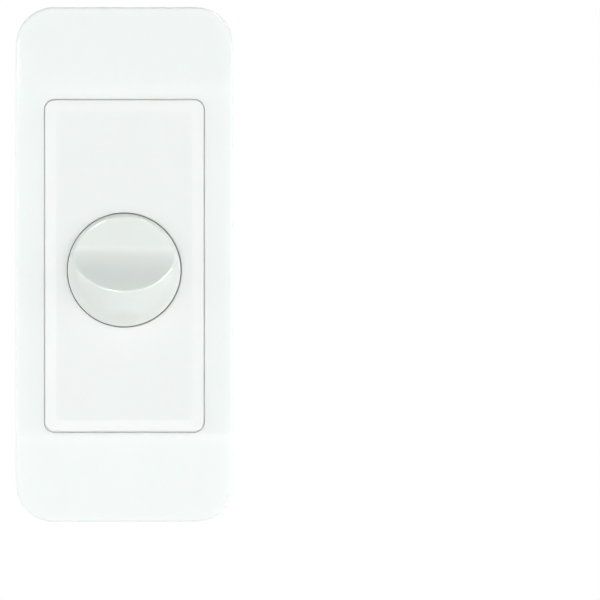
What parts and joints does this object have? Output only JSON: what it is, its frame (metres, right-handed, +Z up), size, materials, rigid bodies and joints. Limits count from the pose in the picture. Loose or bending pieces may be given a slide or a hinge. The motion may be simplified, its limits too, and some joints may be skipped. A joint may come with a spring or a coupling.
{
  "type": "rotary wall dimmer",
  "caption": "Narrow wall-plate light dimmer with a dished rotary dial that also pushes on and off, and a dimmer module behind.",
  "frame": {"origin": "on the wall face, midway between the two fixing screws", "axes": "+X to the viewer's right across the plate, +Y into the wall along the fixing screws, +Z up the plate's long side"},
  "size_m": [0.0494, 0.0513, 0.117],
  "materials": {
    "plate_plastic": "smooth moulded, soft gloss",
    "panel_plastic": "smooth moulded, soft gloss",
    "dial_plastic": "smooth moulded, soft gloss",
    "frame_plastic": "fine moulded grain",
    "module_plastic": "fine moulded grain",
    "nylon": "natural nylon",
    "switch_plastic": "moulded",
    "zinc_steel": "zinc plated",
    "spring_steel": "plain",
    "nickel_brass": "nickel plated",
    "brass": "turned",
    "copper": "plain",
    "enamel_copper": "enamelled",
    "carbon_film": "printed film",
    "phenolic": "laminate",
    "board_laminate": "laminate",
    "powder_iron": "painted powder core",
    "capacitor_case": "potted box",
    "trimmer_plastic": "moulded",
    "ceramic": "glazed",
    "resistor_coat": "lacquered",
    "diode_glass": "coated glass",
    "film_capacitor": "dipped",
    "black_epoxy": "moulded",
    "silicone_pad": "sheet",
    "aluminium": "mill finish"
  },
  "bodies": {
    "frame": {"insert_panel": "panel_plastic", "mounting_frame": "frame_plastic", "cover_clips": "spring_steel", "fixing_screws": "zinc_steel", "captive_washers": "nylon", "control_bushing": "nickel_brass", "control_washer": "zinc_steel", "control_nut": "nickel_brass", "control_case": "zinc_steel", "track_wafer": "phenolic", "carbon_track": "carbon_film", "control_pins": "nickel_brass", "switch_housing": "switch_plastic", "switch_spring": "spring_steel", "switch_contacts": "copper", "module_lid": "module_plastic", "module_housing": "module_plastic", "module_screws": "zinc_steel", "circuit_board": "board_laminate", "choke_core": "powder_iron", "choke_winding": "enamel_copper", "suppression_capacitor": "capacitor_case", "trimmer_base": "trimmer_plastic", "fuse_link": "ceramic", "board_resistors": "resistor_coat", "trigger_diode": "diode_glass", "timing_capacitors": "film_capacitor", "power_triac": "black_epoxy", "triac_tab": "nickel_brass", "insulating_pad": "silicone_pad", "heat_sink": "aluminium", "heat_sink_screw": "zinc_steel", "terminal_carrier": "nylon", "terminal_blocks": "brass", "terminal_screws": "zinc_steel"},
    "cover": {"cover_plate": "plate_plastic"},
    "rotor": {"wiper_rotor": "nylon", "wiper_contact": "nickel_brass"},
    "dial": {"dimmer_dial": "dial_plastic", "dial_grip_spring": "spring_steel", "control_shaft": "nickel_brass", "shaft_clip": "spring_steel"},
    "plunger": {"switch_plunger": "nylon", "contact_bridge": "copper"},
    "latch": {"latch_pin": "spring_steel"},
    "trimmer": {"trimmer_rotor": "nylon"}
  },
  "joints": [
    {"name": "cover_pull", "type": "slide", "parent": "frame", "child": "cover", "axis": [0, -1, 0], "range_m": [0, 0.016]},
    {"name": "dial_turn", "type": "hinge", "parent": "frame", "child": "rotor", "pos_m": [0, 0, -0.0013], "axis": [0, 1, 0], "range_deg": [-141.2, 138.8]},
    {"name": "dial_push", "type": "slide", "parent": "rotor", "child": "dial", "axis": [0, 1, 0], "range_m": [0, 0.002], "stiffness_N_per_m": 600, "springref_m": -0.006},
    {"name": "plunger_slide", "type": "slide", "parent": "frame", "child": "plunger", "axis": [0, 1, 0], "range_m": [0, 0.002], "deforming": ["switch_spring"]},
    {"name": "latch_swing", "type": "hinge", "parent": "frame", "child": "latch", "pos_m": [0, 0.0163, -0.0069], "axis": [0, 0, 1], "range_deg": [0, 8.1]},
    {"name": "trimmer_turn", "type": "hinge", "parent": "frame", "child": "trimmer", "pos_m": [0.0082, 0.0162, 0.0149], "axis": [0, 1, 0], "range_deg": [-120, 120]}
  ],
  "couplings": [
    {"joint": "plunger_slide", "follows": "dial_push", "ratio": 1},
    {"joint": "latch_swing", "follows": "dial_push", "rad_per_m": 69.8}
  ]
}
